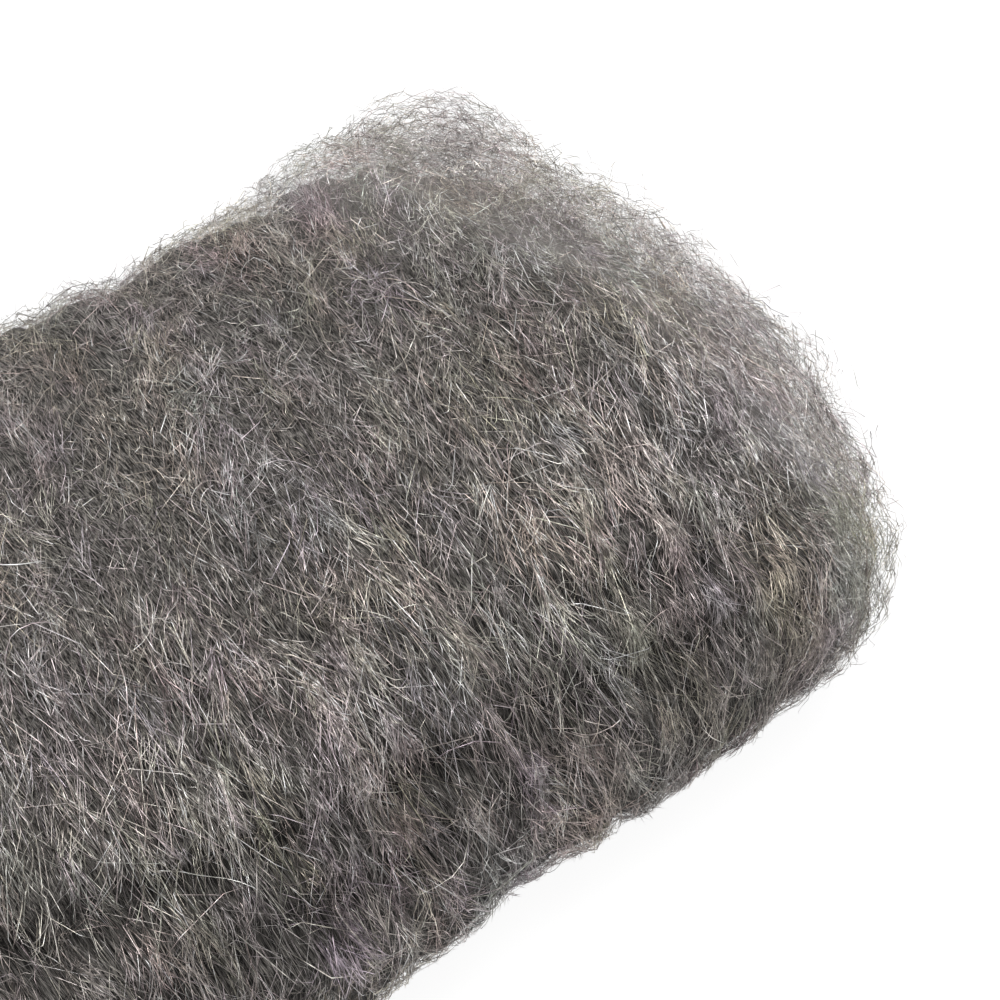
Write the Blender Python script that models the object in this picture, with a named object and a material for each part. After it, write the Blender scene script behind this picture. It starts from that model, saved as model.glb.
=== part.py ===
"""A bundle of steel wool: one springy pad of steel fibres that all run round its long axis.

X is the long axis, -Y the near side with its furrows, +Z up. The pad lies on a small flat at Z = 0.
"""

import math

import bmesh
import bpy
from mathutils import Vector, noise

# Overall sizes, in metres
BUNDLE_LENGTH = 0.134
BUNDLE_WIDTH = 0.079
BUNDLE_THICKNESS = 0.0415

# How far its own weight flattens the underside
REST_DEPTH = 0.0035

# How far the two ends are rounded, seen from above and seen from the side
END_ROUNDING = 0.019
END_DOME = 0.029
ROUNDING_POWER = 2.0
DOME_POWER = 1.65

# Squareness of the cross-section: 2 is an ellipse, more is squarer
NEAR_SQUARENESS = 2.3
FAR_SQUARENESS = 2.1
CROWN_SQUARENESS = 2.3

# The near corner of each end reaches this much further along X than the far corner
END_SLANT = 0.002

# Relief of the surface: broad unevenness, and locks of fibre that run round the pad.
# The underside is pressed flatter.
SWELL_HEIGHT = 0.0015
SWELL_SPACING = 0.026
SWELL_PLACE = Vector((4.0, 30.4, 18.8))
LOCK_HEIGHT = 0.0020
LOCK_SPACING = 0.0070
LOCK_LENGTH = 0.024
TIP_CALM = 0.004
UNDERSIDE_CALM = 0.6

# Where the wound layers come loose, along the far fold and most at its corners, the dense wool lies lower
LOOSE_DEPTH = 0.0022
LOOSE_ANGLE = 26
LOOSE_REACH = 0.030
LOOSE_ALONG_FOLD = 0.35

# Furrows along the near side, where the wound layers fold over each other
UPPER_FURROW_DEPTH = 0.0016
MIDDLE_FURROW_DEPTH = 0.0018
LOWER_FURROW_DEPTH = 0.0020
FURROW_WIDTH = 0.0030
FURROW_FADE = 0.008
FURROW_WANDER = 4.0
FURROW_BEND = 0.018

# Mesh density, with the points round the section drawn together on the furrowed near shoulder
STATIONS_ALONG = 48
STATIONS_IN_END = 16
POINTS_ROUND = 68
SHOULDER_ANGLE = 145
SHOULDER_DENSITY = 0.45

# Each furrow runs between two places along the pad, as shares of its half length.
# The angles are measured round the section from the far side, over the crown (90) to the near side (180).
FURROWS = (
    {"start": 0.45, "end": 0.70, "start_angle": 134, "end_angle": 138, "depth": UPPER_FURROW_DEPTH},
    {"start": -0.56, "end": 0.57, "start_angle": 131, "end_angle": 154, "depth": MIDDLE_FURROW_DEPTH},
    {"start": -0.52, "end": 0.25, "start_angle": 150, "end_angle": 163, "depth": LOWER_FURROW_DEPTH},
)

HALF_LENGTH = BUNDLE_LENGTH / 2
STRAIGHT = HALF_LENGTH - END_DOME
ROUND_HEIGHT = BUNDLE_THICKNESS + REST_DEPTH
CENTRE_HEIGHT = BUNDLE_THICKNESS - ROUND_HEIGHT / 2


def clear_scene():
    for thing in list(bpy.data.objects):
        bpy.data.objects.remove(thing, do_unlink=True)


def stations():
    """Places along X, closer together over the domed ends, without the two tips."""
    middle = [
        -STRAIGHT + 2 * STRAIGHT * step / STATIONS_ALONG
        for step in range(STATIONS_ALONG + 1)
    ]
    dome = [
        STRAIGHT + END_DOME * math.sin(math.pi / 2 * step / STATIONS_IN_END)
        for step in range(1, STATIONS_IN_END)
    ]
    return [-place for place in reversed(dome)] + middle + dome


def angles():
    """Angles round the section, closer together at the near shoulder."""
    shoulder = math.radians(SHOULDER_ANGLE)
    turns = [2 * math.pi * step / POINTS_ROUND for step in range(POINTS_ROUND)]
    return [turn - SHOULDER_DENSITY * math.sin(turn - shoulder) for turn in turns]


def taper(place, reach, power):
    """1 along the straight middle, falling to 0 at the tip over the last reach of the length."""
    share = (abs(place) - (HALF_LENGTH - reach)) / reach
    share = min(max(share, 0.0), 1.0)
    return (1.0 - share**power) ** (1.0 / power)


def signed_power(value, power):
    return math.copysign(abs(value) ** power, value)


def section_point(place, angle):
    """The smooth form's point at a place along X and an angle round the section."""
    half_width = BUNDLE_WIDTH / 2 * taper(place, END_ROUNDING, ROUNDING_POWER)
    half_height = ROUND_HEIGHT / 2 * taper(place, END_DOME, DOME_POWER)
    near_share = (1 - math.cos(angle)) / 2
    squareness = FAR_SQUARENESS + (NEAR_SQUARENESS - FAR_SQUARENESS) * near_share
    y = half_width * signed_power(math.cos(angle), 2 / squareness)
    z = half_height * signed_power(math.sin(angle), 2 / CROWN_SQUARENESS)
    slant = END_SLANT * (-y / BUNDLE_WIDTH) * (place / HALF_LENGTH)
    return Vector((place + slant, y, z + CENTRE_HEIGHT))


def furrow_depth(place, angle):
    """How deep the furrows cut at a place along X and an angle round the section."""
    depth = 0.0
    for number, furrow in enumerate(FURROWS):
        start = furrow["start"] * HALF_LENGTH
        end = furrow["end"] * HALF_LENGTH
        share = min(max((place - start) / (end - start), 0.0), 1.0)
        middle = furrow["start_angle"] + share * (furrow["end_angle"] - furrow["start_angle"])
        middle += FURROW_WANDER * noise.noise(Vector((place / FURROW_BEND, number * 7.3, 0.5)))
        beyond = max(start - place, place - end, 0.0)
        fade = math.exp(-((beyond / FURROW_FADE) ** 2))
        arc = math.radians(math.degrees(angle) - middle) * BUNDLE_WIDTH / 2
        depth += furrow["depth"] * fade * math.exp(-((arc / FURROW_WIDTH) ** 2))
    return depth


def distance_along(place):
    """Distance from the middle along the surface, over the crown and down the domed end."""
    over = max(abs(place) - STRAIGHT, 0.0)
    distance = abs(place) - over + END_DOME * math.asin(min(over / END_DOME, 1.0))
    return math.copysign(distance, place)


def relief(place, angle):
    """Height of the uneven surface over the smooth form."""
    swell = noise.noise(section_point(place, angle) / SWELL_SPACING + SWELL_PLACE)
    turn = Vector((math.cos(angle), math.sin(angle))) * (BUNDLE_WIDTH / 2 / LOCK_LENGTH)
    along = distance_along(place) / LOCK_SPACING
    lock = noise.noise(Vector((along, turn.x + 5.1, turn.y)))
    pressed = min(max(0.3 - 1.4 * math.sin(angle), 0.0), 1.0)
    return (SWELL_HEIGHT * swell + LOCK_HEIGHT * lock) * (1 - UNDERSIDE_CALM * pressed)


def loose_depth(place, angle):
    """How much lower the dense wool lies where the outside is loose."""
    far = max(math.cos(angle - math.radians(LOOSE_ANGLE)), 0.0) ** 3
    share = (abs(place) - (HALF_LENGTH - LOOSE_REACH)) / LOOSE_REACH
    share = min(max(share, 0.0), 1.0)
    end = share * share * (3 - 2 * share)
    return LOOSE_DEPTH * far * (LOOSE_ALONG_FOLD + (1 - LOOSE_ALONG_FOLD) * end)


def outward(place, angle):
    """Direction square to the smooth form."""
    short, turn = HALF_LENGTH / 1000, math.radians(1)
    inside = min(max(place, -HALF_LENGTH + 2 * short), HALF_LENGTH - 2 * short)
    along = section_point(inside + short, angle) - section_point(inside - short, angle)
    around = section_point(inside, angle + turn) - section_point(inside, angle - turn)
    return around.cross(along).normalized()


def surface_point(place, angle):
    near_tip = min(1.0, (HALF_LENGTH - abs(place)) / TIP_CALM)
    height = (relief(place, angle) - loose_depth(place, angle)) * near_tip
    height -= furrow_depth(place, angle)
    point = section_point(place, angle) + outward(place, angle) * height
    point.z = max(point.z, 0.0)
    return point


def tip_point(side):
    return Vector((side * HALF_LENGTH, 0.0, CENTRE_HEIGHT))


def pad_mesh():
    """Rings of points round the long axis, joined into a skin and closed at both tips."""
    mesh = bmesh.new()
    rings = [
        [mesh.verts.new(surface_point(place, angle)) for angle in angles()]
        for place in stations()
    ]
    for ring, following in zip(rings, rings[1:]):
        for step in range(POINTS_ROUND):
            after = (step + 1) % POINTS_ROUND
            mesh.faces.new((ring[step], following[step], following[after], ring[after]))
    for side, ring in ((-1, rings[0]), (1, rings[-1])):
        tip = mesh.verts.new(tip_point(side))
        for step in range(POINTS_ROUND):
            mesh.faces.new((tip, ring[step], ring[(step + 1) % POINTS_ROUND]))
    bmesh.ops.recalc_face_normals(mesh, faces=mesh.faces)
    return mesh


def stand_on_origin(mesh):
    """Moves the mesh so that the middle of its footprint is at the origin."""
    for axis in (0, 1):
        values = [vertex.co[axis] for vertex in mesh.verts]
        middle = (min(values) + max(values)) / 2
        for vertex in mesh.verts:
            vertex.co[axis] -= middle


def steel_fibre_material():
    material = bpy.data.materials.new("steel_fibre")
    material.use_nodes = True
    shader = material.node_tree.nodes["Principled BSDF"]
    shader.inputs["Base Color"].default_value = (0.27, 0.27, 0.26, 1.0)
    shader.inputs["Metallic"].default_value = 0.9
    shader.inputs["Roughness"].default_value = 0.5
    return material


def main():
    clear_scene()
    mesh = pad_mesh()
    stand_on_origin(mesh)
    data = bpy.data.meshes.new("wool_bundle")
    mesh.to_mesh(data)
    mesh.free()
    data.shade_smooth()
    data.materials.append(steel_fibre_material())
    bundle = bpy.data.objects.new("wool_bundle", data)
    bpy.context.scene.collection.objects.link(bundle)


main()
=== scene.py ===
"""Looks of the steel wool bundle: a dense inner mass, the fibres wound round it, and loose ones outside."""

import math

import bpy
import numpy as np
from mathutils import Matrix, Vector
from mathutils.bvhtree import BVHTree


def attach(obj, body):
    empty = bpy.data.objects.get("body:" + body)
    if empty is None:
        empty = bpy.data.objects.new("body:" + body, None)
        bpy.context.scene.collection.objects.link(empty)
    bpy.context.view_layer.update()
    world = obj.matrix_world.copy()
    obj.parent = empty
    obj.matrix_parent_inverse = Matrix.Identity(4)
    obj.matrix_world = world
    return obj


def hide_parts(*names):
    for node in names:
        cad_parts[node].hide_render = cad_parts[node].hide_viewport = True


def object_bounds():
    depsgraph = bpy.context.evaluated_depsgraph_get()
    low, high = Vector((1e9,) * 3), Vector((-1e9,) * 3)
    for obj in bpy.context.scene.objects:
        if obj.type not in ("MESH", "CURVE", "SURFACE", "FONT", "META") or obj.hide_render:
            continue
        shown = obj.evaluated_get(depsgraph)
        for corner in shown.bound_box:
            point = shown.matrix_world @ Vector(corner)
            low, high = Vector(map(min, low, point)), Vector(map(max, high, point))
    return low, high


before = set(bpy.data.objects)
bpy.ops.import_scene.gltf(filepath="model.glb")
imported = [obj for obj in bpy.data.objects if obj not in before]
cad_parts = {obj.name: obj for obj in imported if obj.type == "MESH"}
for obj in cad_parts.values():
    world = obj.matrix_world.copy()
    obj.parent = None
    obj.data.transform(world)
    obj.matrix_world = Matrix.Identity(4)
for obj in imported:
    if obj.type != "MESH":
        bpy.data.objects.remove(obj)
cad_low, cad_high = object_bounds()

# Places and sizes in metres
HALF_LENGTH = (cad_high.x - cad_low.x) / 2
SPINE_HEIGHT = 0.0205
SPINE_REACH = HALF_LENGTH - 0.025
END_ARC = 0.026
HALF_PATH = SPINE_REACH + END_ARC * math.pi / 2

# How light the fibres are
TONE = 0.535

# How finely the CAD surface is read: along the pad, and round it
READ_ALONG = 320
READ_ROUND = 480


def smooth_step(share):
    return share * share * (3 - 2 * share)


def noise_field(seed, cells_along, cells_round):
    """Smooth random values from -1 to 1 over the surface, which join up all round the pad."""
    table = np.random.default_rng(seed).uniform(-1, 1, (cells_along + 2, cells_round))

    def field(along, turn):
        a = np.clip(along, 0, 0.99999) * cells_along
        b = (turn % 1.0) * cells_round
        i = a.astype(int)
        j = b.astype(int) % cells_round
        fa = smooth_step(a - i)
        fb = smooth_step(b - np.floor(b))
        k = (j + 1) % cells_round
        near = table[i, j] * (1 - fb) + table[i, k] * fb
        far = table[i + 1, j] * (1 - fb) + table[i + 1, k] * fb
        return near * (1 - fa) + far * fa

    return field


def read_surface(node):
    """Points of the CAD surface by place along the pad and turn round it, found from a spine inside."""
    mesh = node.data
    tree = BVHTree.FromPolygons(
        [vertex.co.copy() for vertex in mesh.vertices],
        [tuple(face.vertices) for face in mesh.polygons],
    )
    points = np.zeros((READ_ALONG, READ_ROUND, 3))
    for i, path in enumerate(np.linspace(-HALF_PATH, HALF_PATH, READ_ALONG)):
        lift = max(abs(path) - SPINE_REACH, 0.0) / END_ARC
        lift = min(lift, math.pi / 2 - 0.002)
        start = Vector((math.copysign(min(abs(path), SPINE_REACH), path), 0.0, SPINE_HEIGHT))
        for j in range(READ_ROUND):
            angle = 2 * math.pi * j / READ_ROUND
            ray = Vector(
                (
                    math.copysign(math.sin(lift), path),
                    math.cos(lift) * math.cos(angle),
                    math.cos(lift) * math.sin(angle),
                )
            )
            points[i, j] = tree.ray_cast(start, ray)[0]
    return points


def blurred(values, along, around):
    """Softened over the given number of steps each way, joining up all round."""
    for _ in range(along):
        inner = (values[:-2] + 2 * values[1:-1] + values[2:]) / 4
        values = np.concatenate([values[:1], inner, values[-1:]])
    for _ in range(around):
        values = (np.roll(values, 1, 1) + 2 * values + np.roll(values, -1, 1)) / 4
    return values


def unit(vectors):
    return vectors / np.maximum(np.linalg.norm(vectors, axis=-1, keepdims=True), 1e-12)


class Surface:
    """The pad's surface as grids of points, normals and step lengths, sampled by place and turn."""

    def __init__(self, points):
        self.points = blurred(points, 2, 3)
        self.rows, self.columns = points.shape[:2]
        along = np.gradient(self.points, axis=0)
        around = (np.roll(self.points, -1, 1) - np.roll(self.points, 1, 1)) / 2
        self.normals = unit(blurred(unit(np.cross(around, along)), 3, 3))
        self.along_length = np.linalg.norm(along, axis=-1) * (self.rows - 1)
        self.round_length = np.linalg.norm(around, axis=-1) * self.columns
        self.area = self.along_length * self.round_length

    def sample(self, grid, along, turn):
        a = np.clip(along, 0, 1) * (self.rows - 1)
        b = (turn % 1.0) * self.columns
        i = np.minimum(a.astype(int), self.rows - 2)
        j = b.astype(int) % self.columns
        k = (j + 1) % self.columns
        fa, fb = a - i, b - np.floor(b)
        if grid.ndim == 3:
            fa, fb = fa[..., None], fb[..., None]
        near = grid[i, j] * (1 - fb) + grid[i, k] * fb
        far = grid[i + 1, j] * (1 - fb) + grid[i + 1, k] * fb
        return near * (1 - fa) + far * fa

    def scales(self, along, turn):
        """Metres in the whole run along the pad and in a whole turn, kept from vanishing at a tip."""
        along_scale = np.maximum(self.sample(self.along_length, along, turn), 0.02)
        round_scale = np.maximum(self.sample(self.round_length, along, turn), 0.006)
        return along_scale, round_scale

    def scatter(self, rng, count, weight):
        """Random places spread evenly over the surface, times a weight of each place."""
        cells = self.area * weight
        chances = (cells / cells.sum()).ravel()
        picks = rng.choice(chances.size, count, p=chances)
        along = (picks // self.columns + rng.uniform(-0.5, 0.5, count)) / (self.rows - 1)
        turn = (picks % self.columns + rng.uniform(-0.5, 0.5, count)) / self.columns
        return np.clip(along, 0, 1), turn % 1.0


surface = Surface(read_surface(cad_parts["wool_bundle"]))
grid_along = np.repeat(np.linspace(0, 1, READ_ALONG)[:, None], READ_ROUND, 1)
grid_turn = np.repeat(np.arange(READ_ROUND)[None, :] / READ_ROUND, READ_ALONG, 0)

# Fields shared by all the fibres, so that neighbours lie together
lock_height = noise_field(11, 70, 22)
lock_detail = noise_field(12, 150, 40)
lean = noise_field(13, 16, 14)
lean_detail = noise_field(14, 60, 30)
tone_patch = noise_field(15, 26, 20)
tone_detail = noise_field(16, 130, 44)
warm_patch = noise_field(17, 34, 30)
warm_detail = noise_field(28, 100, 64)
green_patch = noise_field(18, 30, 28)
green_detail = noise_field(29, 90, 60)
row_warp = noise_field(19, 11, 6)
row_detail = noise_field(20, 40, 12)

# Turns round the pad, from the far side over the top to the near side, and the fibres' lean there in radians
LEAN_TURNS = (0.0, 0.12, 0.25, 0.35, 0.42, 0.48, 0.56, 0.75, 1.0)
LEANS = (-0.28, -0.28, -0.22, -0.16, -0.04, 0.16, 0.20, 0.0, -0.28)
END_LEAN = -0.10
END_LEAN_NEAR = -0.24
LEFT_LEAN = -0.06

# Rows of fibre locks, one above the next like shingles
ROWS_ROUND = 30
ROW_HEIGHT = 0.0007

# Least height over the floor of a fibre's middle line, and of its skin
FLOOR_GAP = 0.0002
SKIN_GAP = 0.00005

# Places along the pad between which fibres stay, just short of the two tips
ENDS = (0.002, 0.998)

# Least and greatest lengths and widths of the fibres
WOUND_LENGTHS = (0.002, 0.010)
LOCK_LENGTHS = (0.002, 0.012)
LOOSE_LENGTHS = (0.002, 0.012)
STRAY_LENGTHS = (0.003, 0.018)
WOUND_WIDTHS = (0.00005, 0.00018)
LOOSE_WIDTHS = (0.00004, 0.00014)
STRAY_WIDTHS = (0.00006, 0.00016)

# Thickness of a fibre as a share of its width
FLATNESS = 0.6

# How far the fibres stand out from the CAD form, and how much further where they are loose
STAND_OUT = 0.0007
LOOSE_OUT = 0.0015

# How far the dense core lies under the outside where the outside is loose
CORE_SINK = 0.0036

# How far the inner mass lies under the outside everywhere, and the share of the core's depth that it takes
MASS_DEPTH = 0.0014
MASS_SINK = 0.74

# Places where a web of curls stands further out, and where the core lies deeper still.
# Each has its place along and turn, how far it spreads each way, and its height or depth.
CURL_PLACES = (
    (0.80, 0.04, 0.035, 0.06, 0.0040),
    (0.835, 0.495, 0.050, 0.05, 0.0025),
    (0.915, 0.450, 0.030, 0.05, 0.0016),
    (0.56, 0.04, 0.080, 0.04, 0.0012),
)
SOFT_PLACES = (
    (0.90, 0.460, 0.050, 0.08, 0.0034),
    (0.865, 0.490, 0.025, 0.04, 0.0022),
    (0.79, 0.05, 0.040, 0.07, 0.0014),
)

# Where the whole outside swells a little over the CAD form
SWELLINGS = ((0.54, 0.05, 0.050, 0.08, 0.0014),)

# Painted light and shade: lighter and darker places of the wool, as shares of its tone
LIGHT_AND_SHADE_PLACES = (
    (0.885, 0.480, 0.042, 0.050, 0.50),
    (0.862, 0.508, 0.030, 0.030, 0.34),
    (0.755, 0.475, 0.045, 0.035, -0.12),
    (0.80, 0.400, 0.060, 0.060, 0.12),
    (0.93, 0.280, 0.030, 0.080, 0.16),
    (0.79, 0.045, 0.045, 0.070, 0.18),
    (0.55, 0.045, 0.070, 0.045, -0.30),
    (0.52, 0.330, 0.050, 0.040, -0.08),
    (0.39, 0.355, 0.090, 0.060, -0.16),
    (0.57, 0.375, 0.060, 0.040, -0.12),
    (0.66, 0.490, 0.050, 0.040, -0.14),
    (0.45, 0.490, 0.050, 0.040, -0.08),
)


def row_share(along, turn):
    """Place within a row of locks, 0 at its upper end and 1 at the tips, with ragged rows."""
    phase = turn * ROWS_ROUND + 1.3 * row_warp(along, turn) + 0.45 * row_detail(along, turn)
    return phase - np.floor(phase)


def fineness(turn):
    """How thick fibres are by their turn round the pad, for they are finer on the far side."""
    return 0.78 + 0.23 * shoulder(turn)


def shoulder(turn):
    """1 over the near shoulder and wall, where the locks lie in rows, and 0 on the top and underneath."""
    return smooth_step(np.clip((0.26 - np.abs(turn % 1.0 - 0.47)) / 0.14, 0, 1))


def relief(along, turn):
    """Height of the locks over the CAD surface."""
    share = row_share(along, turn)
    row = ROW_HEIGHT * shoulder(turn) * (np.where(share < 0.8, share / 0.8, (1 - share) / 0.2) - 0.5)
    height = 0.00035 * lock_height(along, turn) + 0.0002 * lock_detail(along, turn) + row
    return height * (1 - 0.7 * under(along, turn))


def far_side(turn):
    """1 along the far fold, where the photograph shows light through the fibres, 0 elsewhere."""
    return np.clip(np.cos(2 * np.pi * turn - 0.45), 0, 1) ** 3


def near_side(turn):
    """1 where the pad faces the near side and its lower edge, 0 elsewhere."""
    return np.clip(np.cos(2 * np.pi * turn - 3.35), 0, 1) ** 2


def under(along, turn):
    """1 on the underside, 0 above."""
    return surface.sample(under_share, along, turn)


def tucked(along, turn):
    """1 from the lower rim inward under the pad, where little light comes, 0 above the rim."""
    return surface.sample(tucked_share, along, turn)


def looseness(along, turn):
    """0 over the dense middle, rising at both ends and along the far fold, most where they meet."""
    path = np.abs(along * 2 - 1) * HALF_PATH
    end = smooth_step(np.clip((path - (HALF_LENGTH - 0.026)) / 0.022, 0, 1))
    fold = 0.16 + 0.46 * smooth_step(np.clip((path - 0.020) / 0.025, 0, 1))
    fold = fold * (1 - smooth_step(np.clip((path - 0.93 * HALF_PATH) / (0.07 * HALF_PATH), 0, 1)))
    return np.minimum(0.8 * end + fold * far_side(turn), 1.15) * (1 - 0.8 * under(along, turn))


def raised(places, along, turn):
    """Sum of smooth rounded rises, each as high as its last number at its place and turn."""
    height = 0.0
    for at, side, spread_along, spread_round, top in places:
        off = (turn - side + 0.5) % 1.0 - 0.5
        height = height + top * np.exp(-(((along - at) / spread_along) ** 2) - (off / spread_round) ** 2)
    return height


# How far the surface faces down, for the underside and for the rim above it
facing_down = -blurred(surface.normals[..., 2], 3, 4)
under_share = np.clip((facing_down - 0.35) / 0.5, 0, 1)
tucked_share = smooth_step(np.clip((facing_down + 0.10) / 0.50, 0, 1))

# How far the CAD surface lies over or under its own smoothed form, and 1 in its long furrows but 0 elsewhere
smoothed = blurred(surface.points, 30, 160)
hollow = ((surface.points - smoothed) * surface.normals).sum(-1)
hollow = hollow - blurred(hollow, 60, 400)
furrow = np.clip((-blurred(hollow, 110, 6) - 0.00008) / 0.00032, 0, 1)

# How thickly fibres lie: thinly underneath and in the furrows, and more where the outside is loose
cover = np.where(surface.normals[..., 2] < -0.75, 0.25, 1.0) * (1 - 0.5 * furrow)
cover = cover * (1 + 0.7 * looseness(grid_along, grid_turn))


def new_object(name, vertices, faces, tones=None, smooth=True):
    """A mesh object from arrays of points, triangles and one colour a point."""
    mesh = bpy.data.meshes.new(name)
    mesh.vertices.add(len(vertices))
    mesh.vertices.foreach_set("co", vertices.astype(np.float32).ravel())
    mesh.loops.add(faces.size)
    mesh.loops.foreach_set("vertex_index", faces.astype(np.int32).ravel())
    mesh.polygons.add(len(faces))
    mesh.polygons.foreach_set("loop_start", np.arange(len(faces), dtype=np.int32) * 3)
    mesh.polygons.foreach_set("use_smooth", np.full(len(faces), smooth))
    if tones is not None:
        # The colours hold painted light and shade besides the tone.
        colours = mesh.color_attributes.new("tone", "FLOAT_COLOR", "POINT")
        filled = np.concatenate([tones, np.ones((len(tones), 1))], 1)
        colours.data.foreach_set("color", filled.astype(np.float32).ravel())
    mesh.update(calc_edges=True)
    mesh.validate()
    thing = bpy.data.objects.new(name, mesh)
    bpy.context.scene.collection.objects.link(thing)
    return thing


def reach(along, turn):
    """How long fibres are for their kind: long on the near shoulder, short on the far side and the ends."""
    end = smooth_step(np.clip((np.abs(2 * along - 1) - 0.44) / 0.3, 0, 1))
    return (0.78 + 0.34 * shoulder(turn)) * (1 - 0.22 * end)


def drawn(rng, middle, spread, limits, count, scale=1.0):
    """Random sizes round a middle one, times a scale, and kept within limits."""
    return np.clip(rng.lognormal(math.log(middle), spread, count) * scale, *limits)


def either_way(rng, heading):
    """Half of the headings turned right round, because a fibre that lies flat has no front."""
    return np.where(rng.random(len(heading)) < 0.5, heading, heading + np.pi)


def arched(share, tilt, bow):
    """Height at a share of a fibre's length, for one that tilts and bows."""
    centred = 2 * share - 1
    return tilt * centred + bow * (1 - centred**2)


def traced_paths(along, turn, lengths, heading, curve, shares):
    """Places of each fibre's points, walked over the surface from its start."""
    lengths = lengths * reach(along, turn)
    curve = curve / reach(along, turn) ** 2
    places = [(along.copy(), turn.copy())]
    for before, after in zip(shares, shares[1:]):
        step = lengths * (after - before)
        along_scale, round_scale = surface.scales(along, turn)
        along = np.clip(along + step * np.sin(heading) / along_scale, *ENDS)
        turn = turn + step * np.cos(heading) / round_scale
        heading = heading + curve * step
        places.append((along.copy(), turn.copy()))
    return places


def fibre_mesh(name, rng, centres, widths, tones):
    """Slim three-sided fibres with pointed ends, along paths given as an array of fibres by points."""
    count, points = centres.shape[:2]
    tangents = unit(np.gradient(centres, axis=1))
    helper = unit(rng.normal(size=(count, 1, 3)))
    side = unit(np.cross(tangents, helper))
    other = np.cross(tangents, side)
    inner = points - 2
    ring_angles = np.arange(3) * 2 * np.pi / 3
    cosines = np.cos(ring_angles)[None, None, :, None]
    sines = np.sin(ring_angles)[None, None, :, None] * FLATNESS
    radius = (widths / 2)[:, None, None, None]
    middle = centres[:, 1:-1, None, :]
    rings = middle + radius * (side[:, 1:-1, None, :] * cosines + other[:, 1:-1, None, :] * sines)
    vertices = np.concatenate(
        [centres[:, :1], rings.reshape(count, inner * 3, 3), centres[:, -1:]], axis=1
    )
    stride = inner * 3 + 2
    faces = [(0, 1 + (k + 1) % 3, 1 + k) for k in range(3)]
    for ring in range(inner - 1):
        low, high = 1 + ring * 3, 4 + ring * 3
        for k in range(3):
            n = (k + 1) % 3
            faces += [(low + k, low + n, high + n), (low + k, high + n, high + k)]
    last = 1 + (inner - 1) * 3
    faces += [(stride - 1, last + k, last + (k + 1) % 3) for k in range(3)]
    faces = np.array(faces)[None] + (np.arange(count) * stride)[:, None, None]
    vertices = vertices.reshape(-1, 3)
    vertices[:, 2] = np.maximum(vertices[:, 2], SKIN_GAP)
    ring_of = np.concatenate([[0], np.repeat(np.arange(1, points - 1), 3), [points - 1]])
    colours = tones[:, ring_of].reshape(-1, 3)
    return new_object(name, vertices, faces.reshape(-1, 3), colours)


def fibre_tones(rng, along, turn, depth, bright, shares, spread=0.28, root=1.0):
    """Colours along each fibre: patches of light and dark, its own shade, and painted shade and light.

    The painted shade falls in depth, in the hollows and furrows, on the near side, at the rim and underneath;
    painted light falls on ridges, towards the right end and at the listed places. Its root has the given
    share of its tone, which rises to 1.12 of it at its last point, as painted shade at a deep root and
    painted light at a raised tip.
    """
    count = len(along)
    value = 1 + 0.10 * tone_patch(along, turn) + 0.16 * tone_detail(along, turn)
    # Painted light: lighter towards the right end.
    value = value * (1 + 0.10 * smooth_step(np.clip((along - 0.68) / 0.2, 0, 1)))
    # Painted light and shade at the listed places.
    value = value * (1 + raised(LIGHT_AND_SHADE_PLACES, along, turn))
    value = TONE * value * rng.lognormal(0, spread, count) * bright
    # Painted shade: darker the deeper the fibre lies.
    value = value * np.clip(1 - depth / 0.006, 0.4, 1.05)
    # Painted shade in the hollows of the surface and painted light on its ridges.
    value = value * np.clip(1 + 260 * surface.sample(hollow, along, turn), 0.6, 1.2)
    # Painted shade in the long furrows.
    value = value * (1 - 0.45 * surface.sample(furrow, along, turn))
    # Painted shade on the near side, more towards the right end.
    right = smooth_step(np.clip((along - 0.5) / 0.3, 0, 1))
    value = value * (1 - (0.20 + 0.14 * right) * near_side(turn) ** 2)
    # Painted shade at the lower rim and underneath.
    value = value * (1 - 0.52 * tucked(along, turn)) * (1 - 0.35 * under(along, turn))
    # Darker at the root and lighter towards the tip: for the locks, painted shade at the deep root and
    # painted light at the raised tip.
    value = value[:, None] * (root + (1.12 - root) * np.asarray(shares)[None, :])
    value = value * rng.lognormal(0, 0.12, (count, len(shares)))
    warm = 0.060 * warm_patch(along, turn) + 0.046 * warm_detail(along, turn) + 0.03 * tucked(along, turn)
    green = 0.022 * green_patch(along, turn) + 0.050 * green_detail(along, turn) + 0.14 * warm
    tint = np.stack([1.10 + warm - green, 1.0 + green, 0.945 - warm - green], 1)
    return np.clip(value[:, :, None] * tint[:, None, :], 0.02, 0.97)


def along_paths(places, heights):
    """Points in space of paths given by places and heights on the surface, kept clear of the floor."""
    centres = []
    for (a, t), height in zip(places, heights):
        point = surface.sample(surface.points, a, t)
        normal = surface.sample(surface.normals, a, t)
        room = (point[:, 2] - FLOOR_GAP) / np.maximum(-normal[:, 2], 0.05)
        height = np.where(normal[:, 2] < 0, np.minimum(height, room), height)
        centres.append(point + normal * height[:, None])
    return np.stack(centres, 1)


def lay(along, turn):
    """Which way fibres lie at a place: their angle from straight across the pad."""
    across = np.interp(turn % 1.0, LEAN_TURNS, LEANS)
    end = smooth_step(np.clip((along - 0.6) / 0.25, 0, 1))
    left = smooth_step(np.clip((0.50 - along) / 0.15, 0, 1))
    across = across + end * (END_LEAN + END_LEAN_NEAR * near_side(turn)) + LEFT_LEAN * left
    return across + 0.07 * lean(along, turn) + 0.14 * lean_detail(along, turn)


def outside(along, turn):
    """Height of the wool's outside over the CAD surface."""
    loose = LOOSE_OUT * looseness(along, turn) + raised(SWELLINGS, along, turn)
    return STAND_OUT * (1 - 0.6 * near_side(turn)) + loose + relief(along, turn)


def sunk(along, turn):
    """Depth of the dense core under the outside."""
    return CORE_SINK * looseness(along, turn) + raised(SOFT_PLACES, along, turn)


def settled(rng, count):
    """Share of the core's depth at which each fibre lies, from a little outside down to the core."""
    return rng.uniform(-0.15, 1.0, count)


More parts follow.
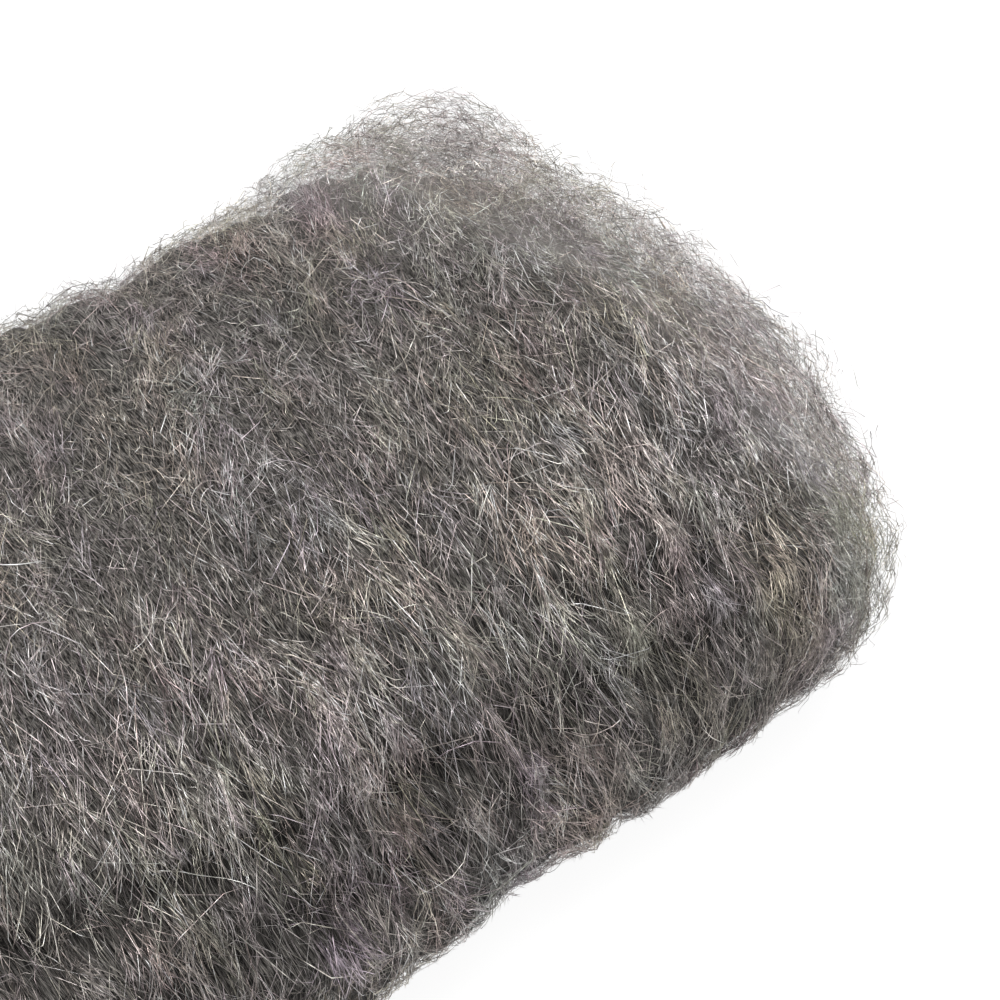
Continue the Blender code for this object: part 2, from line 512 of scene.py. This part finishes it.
def laid_fibres(name, seed, count, depths, length, width, spread, bright, shares):
    """One layer of fibres that follow the dense core, at depths below the surface."""
    rng = np.random.default_rng(seed)
    along, turn = surface.scatter(rng, count, cover)
    lengths = drawn(rng, length, 0.35, WOUND_LENGTHS, count)
    slant = either_way(rng, lay(along, turn) + rng.normal(0, spread, count))
    places = traced_paths(along, turn, lengths, slant, rng.normal(0, 150, count), shares)
    depth = rng.uniform(depths[0], depths[1], count)
    tilt = rng.normal(0, 0.00030, count) * (1 - 0.6 * under(along, turn))
    bow = rng.normal(0, 0.00025, count) * (1 - 0.6 * under(along, turn))
    level = settled(rng, count)
    heights = []
    for share, (a, t) in zip(shares, places):
        height = outside(a, t) - level * sunk(a, t) - depth
        heights.append(height + arched(share, tilt, bow))
    widths = drawn(rng, width, 0.25, WOUND_WIDTHS, count, fineness(turn))
    tones = fibre_tones(rng, along, turn, depth, bright, shares)
    return fibre_mesh(name, rng, along_paths(places, heights), widths, tones)


def lock_fibres(name, seed, locks, per_lock, depths, length, width, spread, bright, shares):
    """Small locks of fibres that rise from the mass side by side and draw together at raised tips."""
    rng = np.random.default_rng(seed)
    along, turn = surface.scatter(rng, locks, cover)
    heading = lay(along, turn) + rng.normal(0, 0.14, locks)
    turned_over = ((turn > 0.78) | (turn < 0.17)) & (rng.random(locks) < 0.7)
    heading = np.where(turned_over | (rng.random(locks) < 0.12), heading + np.pi, heading)
    long = drawn(rng, length, 0.25, LOCK_LENGTHS, locks)
    wide = rng.uniform(0.0004, 0.0013, locks)
    curve = rng.normal(0, 110, locks)
    rise = np.minimum(rng.exponential(0.00035, locks), 0.0012) * (1 - 0.25 * near_side(turn))
    shade = rng.lognormal(0, 0.14, locks)
    level = settled(rng, locks)

    lock = np.repeat(np.arange(locks), per_lock)
    count = len(lock)
    across = np.clip(rng.normal(0, 0.55, count), -1.3, 1.3) * wide[lock]
    behind = rng.uniform(-0.35, 0.45, count) * long[lock]
    course = heading[lock]
    along_scale, round_scale = (scale[lock] for scale in surface.scales(along, turn))
    a0 = along[lock] + (across * np.cos(course) + behind * np.sin(course)) / along_scale
    t0 = turn[lock] + (behind * np.cos(course) - across * np.sin(course)) / round_scale
    a0 = np.clip(a0, 0.003, 0.997)
    course = course - 0.7 * across / long[lock] + rng.normal(0, spread, count)
    lengths = long[lock] * rng.uniform(0.55, 1.0, count)
    places = traced_paths(a0, t0, lengths, course, curve[lock] + rng.normal(0, 90, count), shares)
    depth = rng.uniform(depths[0], depths[1], count)
    heights = []
    for share, (a, t) in zip(shares, places):
        lift = 0.0003 - (depth + 0.0003) * (1 - share) + rise[lock] * share**1.6
        height = outside(a, t) - level[lock] * sunk(a, t)
        heights.append(height + lift + rng.normal(0, 0.00006, count))
    widths = drawn(rng, width, 0.25, WOUND_WIDTHS, count, fineness(t0))
    tones = fibre_tones(rng, a0, t0, 0.4 * depth, bright * shade[lock], shares, root=0.72)
    return fibre_mesh(name, rng, along_paths(places, heights), widths, tones)


def loose_cloud(name, seed, count, length, width, bright):
    """Short crinkled fibres between the sunk core and a little outside the surface, fewer the further out."""
    rng = np.random.default_rng(seed)
    shares = (0.0, 0.3, 0.7, 1.0)
    along, turn = surface.scatter(rng, count, looseness(grid_along, grid_turn))
    lengths = drawn(rng, length, 0.35, LOOSE_LENGTHS, count)
    slant = either_way(rng, lay(along, turn) + rng.normal(0, 0.9, count))
    places = traced_paths(along, turn, lengths, slant, rng.normal(0, 260, count), shares)
    outward = 1.4 * (1 - np.sqrt(rng.random(count))) - 0.65
    height = outside(along, turn) + outward * sunk(along, turn)
    tilt = rng.normal(0, 0.0006, count)
    bow = rng.normal(0, 0.0004, count)
    heights = []
    for share in shares:
        heights.append(height + arched(share, tilt, bow) + rng.normal(0, 0.00016, count))
    widths = drawn(rng, width, 0.25, LOOSE_WIDTHS, count)
    tones = fibre_tones(rng, along, turn, np.zeros(count), bright, shares)
    return fibre_mesh(name, rng, along_paths(places, heights), widths, tones)


def curled_fibres(name, seed, count, length, width, bright):
    """A thin web of crinkled fibres that stand off the loose places and drift along the edge."""
    rng = np.random.default_rng(seed)
    shares = np.linspace(0, 1, 7)
    tufts = raised(CURL_PLACES, grid_along, grid_turn) / CURL_PLACES[0][-1]
    along, turn = surface.scatter(rng, count, tufts + 0.075 * looseness(grid_along, grid_turn))
    heading = either_way(rng, math.pi / 2 + rng.normal(0, 1.2, count))
    lengths = drawn(rng, length, 0.35, LOOSE_LENGTHS, count)
    curve = rng.normal(0, 280, count)
    height = rng.uniform(-0.30, 1.0, count)
    tilt = rng.normal(0, 0.0006, count)
    places, heights = [], []
    step = lengths / (len(shares) - 1)
    for share in shares:
        places.append((along, turn))
        top = raised(CURL_PLACES, along, turn) + 0.0012 * looseness(along, turn)
        lift = height * top + tilt * (2 * share - 1) + rng.normal(0, 0.00026, count)
        heights.append(outside(along, turn) + lift)
        along_scale, round_scale = surface.scales(along, turn)
        along = np.clip(along + step * np.sin(heading) / along_scale, *ENDS)
        turn = turn + step * np.cos(heading) / round_scale
        heading = heading + curve * step + rng.normal(0, 0.95, count)
    widths = drawn(rng, width, 0.25, LOOSE_WIDTHS, count)
    start_along, start_turn = places[0]
    tones = fibre_tones(rng, start_along, start_turn, np.zeros(count), bright, shares)
    return fibre_mesh(name, rng, along_paths(places, heights), widths, tones)


def stray_fibres(name, seed, count, length, width, bright):
    """Longer fibres that lie in smooth open curves on the surface."""
    rng = np.random.default_rng(seed)
    shares = np.linspace(0, 1, 9)
    along, turn = surface.scatter(rng, count, cover)
    lengths = drawn(rng, length, 0.35, STRAY_LENGTHS, count)
    slant = either_way(rng, lay(along, turn) + rng.normal(0, 0.45, count))
    places = traced_paths(along, turn, lengths, slant, rng.normal(0, 170, count), shares)
    rise = np.minimum(rng.exponential(0.0005, count), 0.002) * (1 - 0.6 * near_side(turn))
    heights = []
    for share, (a, t) in zip(shares, places):
        lift = (rise + 0.0006) * math.sin(math.pi * share) ** 0.7
        heights.append(outside(a, t) - 0.5 * sunk(a, t) - 0.0004 + lift)
    widths = drawn(rng, width, 0.2, STRAY_WIDTHS, count)
    tones = fibre_tones(rng, along, turn, np.zeros(count), bright, shares, spread=0.15)
    return fibre_mesh(name, rng, along_paths(places, heights), widths, tones)


def add_flow(mass, along, turn):
    """Texture coordinates in centimetres along the pad and in twentieths of a turn round it."""
    flat_along = np.concatenate([along, [0, 1]]) * 2 * HALF_PATH * 100
    flat_turn = np.concatenate([turn, [0, 0]]) * 20
    loops = np.zeros(len(mass.data.loops), np.int32)
    mass.data.loops.foreach_get("vertex_index", loops)
    pairs = np.stack([flat_along[loops], flat_turn[loops]], 1).reshape(-1, 3, 2)
    wraps = (pairs[:, :, 1].max(1) - pairs[:, :, 1].min(1)) > 10
    pairs[wraps, :, 1] = np.where(pairs[wraps, :, 1] < 10, pairs[wraps, :, 1] + 20, pairs[wraps, :, 1])
    layer = mass.data.uv_layers.new(name="flow")
    layer.data.foreach_set("uv", pairs.astype(np.float32).ravel())


def inner_mass():
    """The dense inside of the bundle, a little under the fibres, and further under where they are loose."""
    rows, columns = 160, 150
    along = np.repeat(np.linspace(0.004, 0.996, rows)[:, None], columns, 1)
    turn = np.repeat(np.arange(columns)[None, :] / columns, rows, 0)
    points = surface.sample(surface.points, along, turn)
    normals = surface.sample(surface.normals, along, turn)
    path = np.abs(along * 2 - 1) * HALF_PATH
    far_fold = far_side(turn) * (1 - smooth_step(np.clip((path - 0.015) / 0.025, 0, 1)))
    closer = 0.0008 * tucked(along, turn) + 0.0012 * far_fold
    # How loose the wool is over the mass: it roughens the mass, and gives it painted light as light through
    # the loose wool.
    loose_and_lit = smooth_step(np.clip((sunk(along, turn) - 0.0006) / 0.0028, 0, 1))
    rough = (0.0006 * loose_and_lit + 0.0006 * far_fold) * lock_detail(along, turn)
    height = outside(along, turn) - MASS_DEPTH + closer + rough - MASS_SINK * sunk(along, turn)
    vertices = (points + normals * height[..., None]).reshape(-1, 3)
    vertices[:, 2] = np.maximum(vertices[:, 2], 0.0)
    tips = np.stack([vertices[:columns].mean(0), vertices[-columns:].mean(0)])
    index = np.arange(rows * columns).reshape(rows, columns)
    after = np.roll(index, -1, 1)
    a, b, c, d = index[:-1], index[1:], after[1:], after[:-1]
    faces = np.concatenate(
        [
            np.stack([a, b, c], -1).reshape(-1, 3),
            np.stack([a, c, d], -1).reshape(-1, 3),
            np.stack([np.full(columns, rows * columns), index[0], after[0]], -1),
            np.stack([np.full(columns, rows * columns + 1), after[-1], index[-1]], -1),
        ]
    )
    vertices = np.concatenate([vertices, tips])
    # Colours of the mass: painted shade in the furrows, on the near side, at the rim and underneath, and a
    # share of painted light through the loose wool, taken away at the rim.
    hidden = tucked(along, turn)
    shades = (1 - 0.5 * surface.sample(furrow, along, turn)) * (1 - 0.2 * near_side(turn))
    shades = shades * (1 - 0.7 * hidden)
    loose_and_lit = loose_and_lit * (1 - hidden)
    colours = np.stack([shades.ravel(), loose_and_lit.ravel(), loose_and_lit.ravel()], 1)
    colours = np.concatenate([colours, np.tile(colours[:1], (2, 1))])
    mass = new_object("wool_mass", vertices, faces[:, ::-1], colours)
    add_flow(mass, along.ravel(), turn.ravel())
    return mass


def steel_fibre_material():
    material = bpy.data.materials.new("steel_fibre")
    material.use_nodes = True
    nodes, links = material.node_tree.nodes, material.node_tree.links
    shader = nodes["Principled BSDF"]
    shader.inputs["Metallic"].default_value = 1.0
    # The fibres' colours, which hold painted light and shade besides their tone.
    tone = nodes.new("ShaderNodeVertexColor")
    tone.layer_name = "tone"
    mottle = nodes.new("ShaderNodeTexNoise")
    mottle.inputs["Scale"].default_value = 420.0
    mottle.inputs["Detail"].default_value = 2.0
    place = nodes.new("ShaderNodeTexCoord")
    spread = nodes.new("ShaderNodeMapRange")
    spread.inputs["To Min"].default_value = 0.18
    spread.inputs["To Max"].default_value = 0.46
    # Painted glints: fine noise makes each fibre lighter and darker along its length, as a twisting fibre
    # catches the light.
    glints = nodes.new("ShaderNodeTexNoise")
    glints.inputs["Scale"].default_value = 1300.0
    glints.inputs["Detail"].default_value = 2.0
    glint_range = nodes.new("ShaderNodeMapRange")
    glint_range.inputs["From Min"].default_value = 0.36
    glint_range.inputs["From Max"].default_value = 0.66
    glint_range.inputs["To Min"].default_value = 0.60
    glint_range.inputs["To Max"].default_value = 1.42
    painted_glint = nodes.new("ShaderNodeMix")
    painted_glint.data_type = "RGBA"
    painted_glint.blend_type = "MULTIPLY"
    painted_glint.inputs["Factor"].default_value = 1.0
    links.new(place.outputs["Object"], glints.inputs["Vector"])
    links.new(glints.outputs["Fac"], glint_range.inputs["Value"])
    links.new(tone.outputs["Color"], painted_glint.inputs["A"])
    links.new(glint_range.outputs["Result"], painted_glint.inputs["B"])
    links.new(painted_glint.outputs["Result"], shader.inputs["Base Color"])
    links.new(place.outputs["Object"], mottle.inputs["Vector"])
    links.new(mottle.outputs["Fac"], spread.inputs["Value"])
    links.new(spread.outputs["Result"], shader.inputs["Roughness"])
    return material


def wool_mass_material():
    """Fibres too deep to model one by one: streaks that run round the pad, painted dark as the shade deep in
    the wool.
    """
    material = bpy.data.materials.new("wool_mass")
    material.use_nodes = True
    nodes, links = material.node_tree.nodes, material.node_tree.links
    shader = nodes["Principled BSDF"]
    shader.inputs["Metallic"].default_value = 0.7
    shader.inputs["Roughness"].default_value = 0.6
    flow = nodes.new("ShaderNodeUVMap")
    flow.uv_map = "flow"
    streak_sets = []
    for turned in (-0.35, 0.30):
        stretch = nodes.new("ShaderNodeMapping")
        stretch.inputs["Rotation"].default_value = (0.0, 0.0, turned)
        stretch.inputs["Scale"].default_value = (85.0, 7.0, 1.0)
        streaks = nodes.new("ShaderNodeTexNoise")
        streaks.inputs["Scale"].default_value = 1.0
        streaks.inputs["Detail"].default_value = 4.0
        streaks.inputs["Roughness"].default_value = 0.6
        streaks.inputs["Distortion"].default_value = 0.8
        links.new(flow.outputs["UV"], stretch.inputs["Vector"])
        links.new(stretch.outputs["Vector"], streaks.inputs["Vector"])
        streak_sets.append(streaks.outputs["Fac"])
    upper = nodes.new("ShaderNodeMath")
    upper.operation = "MAXIMUM"
    links.new(streak_sets[0], upper.inputs[0])
    links.new(streak_sets[1], upper.inputs[1])
    shades = nodes.new("ShaderNodeValToRGB")
    shades.color_ramp.elements[0].position = 0.50
    shades.color_ramp.elements[0].color = (0.012, 0.011, 0.010, 1)
    shades.color_ramp.elements[1].position = 0.68
    shades.color_ramp.elements[1].color = (0.38, 0.355, 0.33, 1)
    # Red of the colours is painted shade, green the share of painted light through the loose wool.
    tone = nodes.new("ShaderNodeVertexColor")
    tone.layer_name = "tone"
    shade_and_light = nodes.new("ShaderNodeSeparateColor")
    shaded = nodes.new("ShaderNodeMix")
    shaded.data_type = "RGBA"
    shaded.blend_type = "MULTIPLY"
    shaded.inputs["Factor"].default_value = 1.0
    share = nodes.new("ShaderNodeMath")
    share.operation = "MULTIPLY"
    share.inputs[1].default_value = 0.82
    # Painted light: the pale colour shows as light through the loose wool.
    light_through = nodes.new("ShaderNodeMix")
    light_through.data_type = "RGBA"
    light_through.inputs["B"].default_value = (0.40, 0.38, 0.36, 1)
    bump = nodes.new("ShaderNodeBump")
    bump.inputs["Strength"].default_value = 0.8
    bump.inputs["Distance"].default_value = 0.0004
    links.new(upper.outputs["Value"], shades.inputs["Fac"])
    links.new(shades.outputs["Color"], shaded.inputs["A"])
    links.new(tone.outputs["Color"], shade_and_light.inputs["Color"])
    links.new(shade_and_light.outputs["Red"], shaded.inputs["B"])
    links.new(shade_and_light.outputs["Green"], share.inputs[0])
    links.new(share.outputs["Value"], light_through.inputs["Factor"])
    links.new(shaded.outputs["Result"], light_through.inputs["A"])
    links.new(light_through.outputs["Result"], shader.inputs["Base Color"])
    links.new(upper.outputs["Value"], bump.inputs["Height"])
    links.new(bump.outputs["Normal"], shader.inputs["Normal"])
    return material


# The bundle
steel = steel_fibre_material()
mass = inner_mass()
mass.data.materials.append(wool_mass_material())
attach(mass, "root")
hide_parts("wool_bundle")

# Places of the points along each fibre, as shares of its length
BENT = (0.0, 0.5, 1.0)
CURVED = (0.0, 0.25, 0.75, 1.0)
# The deep layer is painted darker as shade, and the outer locks, tips and strays are painted lighter as
# light.
layers = [
    laid_fibres("fibres_deep", 21, 21000, (0.0003, 0.0013), 0.0068, 0.000082, 0.46, 0.88, BENT),
    laid_fibres("fibres_middle", 22, 12500, (-0.0004, 0.0006), 0.0068, 0.000068, 0.42, 1.03, CURVED),
    lock_fibres("fibres_locks", 23, 1800, 17, (-0.0001, 0.0007), 0.0056, 0.000076, 0.22, 1.03, BENT),
    lock_fibres("fibres_outer_locks", 24, 1340, 12, (-0.0003, 0.0004), 0.0056, 0.000070, 0.26, 1.1, CURVED),
    lock_fibres("fibres_tips", 27, 600, 12, (-0.0004, 0.0002), 0.0056, 0.000066, 0.30, 1.2, CURVED),
    stray_fibres("fibres_stray", 25, 500, 0.0076, 0.000080, 1.25),
    loose_cloud("fibres_cloud", 26, 8000, 0.0038, 0.000070, 0.85),
    curled_fibres("fibres_curled", 28, 3140, 0.0052, 0.000065, 0.74),
]
for layer in layers:
    layer.data.materials.append(steel)
    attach(layer, "root")

# Camera, at the photograph's angle
AZIMUTH = math.radians(37.4)
ELEVATION = math.radians(56.0)
DISTANCE = 0.320
AIM = Vector((0.0335, -0.0051, 0.0206))
right = Vector((math.cos(AZIMUTH), -math.sin(AZIMUTH), 0.0))
up = Vector(
    (
        math.sin(AZIMUTH) * math.sin(ELEVATION),
        math.cos(AZIMUTH) * math.sin(ELEVATION),
        math.cos(ELEVATION),
    )
)
back = right.cross(up)
camera_data = bpy.data.cameras.new("camera")
camera_data.sensor_width = 36.0
camera_data.lens = 112.7
camera_data.clip_start = 0.01
camera = bpy.data.objects.new("camera", camera_data)
turned = Matrix((right, up, back)).transposed().to_4x4()
camera.matrix_world = Matrix.Translation(AIM + back * DISTANCE) @ turned
bpy.context.scene.collection.objects.link(camera)
bpy.context.scene.camera = camera


def soft_light(name, place, aim, size, power):
    data = bpy.data.lights.new(name, "AREA")
    data.shape = "RECTANGLE"
    data.size, data.size_y = size
    data.energy = power
    lamp = bpy.data.objects.new(name, data)
    lamp.location = place
    lamp.rotation_euler = (Vector(aim) - Vector(place)).to_track_quat("-Z", "Y").to_euler()
    bpy.context.scene.collection.objects.link(lamp)


soft_light("overhead", (0.05, 0.04, 0.75), (0, 0, 0), (0.55, 0.45), 5.0)


def seen_directly(nodes, links):
    """1 for what the camera sees, also in a mirror or through glass, and 0 for the light on the object."""
    path = nodes.new("ShaderNodeLightPath")
    value = path.outputs["Is Camera Ray"]
    for kind in ("Is Glossy Ray", "Is Transmission Ray"):
        either = nodes.new("ShaderNodeMath")
        either.operation = "MAXIMUM"
        links.new(value, either.inputs[0])
        links.new(path.outputs[kind], either.inputs[1])
        value = either.outputs["Value"]
    return value


def studio_world():
    world = bpy.data.worlds.new("studio")
    bpy.context.scene.world = world
    world.use_nodes = True
    nodes, links = world.node_tree.nodes, world.node_tree.links
    background = nodes["Background"]
    seen = nodes.new("ShaderNodeMix")
    seen.data_type = "RGBA"
    seen.inputs["A"].default_value = (0.5, 0.5, 0.5, 1)
    seen.inputs["B"].default_value = (1.0, 1.0, 1.0, 1)
    links.new(seen_directly(nodes, links), seen.inputs["Factor"])
    links.new(seen.outputs["Result"], background.inputs["Color"])


# The floor's own shade, and how white it shows where it is seen
FLOOR_SHADE = 0.17
FLOOR_WHITE = 0.925


def studio_floor():
    """A pale floor that shows white, with the bundle's soft shadow kept faint."""
    half = 1.5
    corners = np.array([(-half, -half, 0), (half, -half, 0), (half, half, 0), (-half, half, 0)], float)
    floor = new_object("floor", corners, np.array([(0, 1, 2), (0, 2, 3)]), smooth=False)
    material = bpy.data.materials.new("pale_floor")
    material.use_nodes = True
    nodes, links = material.node_tree.nodes, material.node_tree.links
    shader = nodes["Principled BSDF"]
    shader.inputs["Base Color"].default_value = (FLOOR_SHADE, FLOOR_SHADE, FLOOR_SHADE, 1)
    shader.inputs["Roughness"].default_value = 0.9
    shader.inputs["Specular IOR Level"].default_value = 0.0
    shader.inputs["Emission Color"].default_value = (1, 1, 1, 1)
    glow = nodes.new("ShaderNodeMath")
    glow.operation = "MULTIPLY"
    glow.inputs[1].default_value = FLOOR_WHITE
    links.new(seen_directly(nodes, links), glow.inputs[0])
    links.new(glow.outputs["Value"], shader.inputs["Emission Strength"])
    floor.data.materials.append(material)


studio_world()
studio_floor()
bpy.context.scene.view_settings.view_transform = "Standard"
